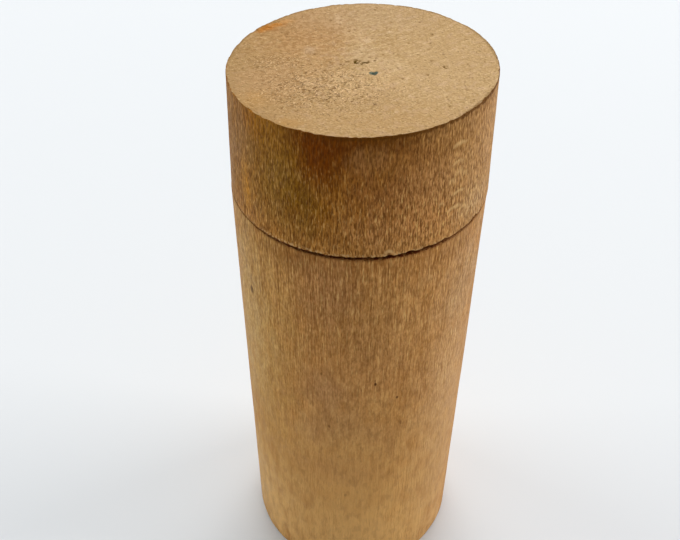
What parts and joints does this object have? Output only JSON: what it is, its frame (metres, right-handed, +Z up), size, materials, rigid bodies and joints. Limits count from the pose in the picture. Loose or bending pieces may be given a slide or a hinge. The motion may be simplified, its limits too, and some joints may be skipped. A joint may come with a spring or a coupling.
{
  "type": "needle case",
  "caption": "Turned wooden needle case: a tall round body with a blind needle chamber and spigot, and a short pull-off cap.",
  "frame": {"origin": "centre of the flat base", "axes": "+Z up along the turning axis, from the base to the cap; the sawn top face rises slightly towards +X"},
  "size_m": [0.032, 0.032, 0.0828],
  "materials": {
    "body_wood": "bare turned beech, worn and slightly polished by handling",
    "cap_wood": "bare turned beech, stained darker by handling, with a sanded end-grain top"
  },
  "bodies": {
    "body": {"body": "body_wood"},
    "cap": {"cap": "cap_wood"}
  },
  "joints": [
    {"name": "cap_pull", "type": "slide", "parent": "body", "child": "cap", "axis": [0, 0, 1], "range_m": [0, 0.035]}
  ]
}
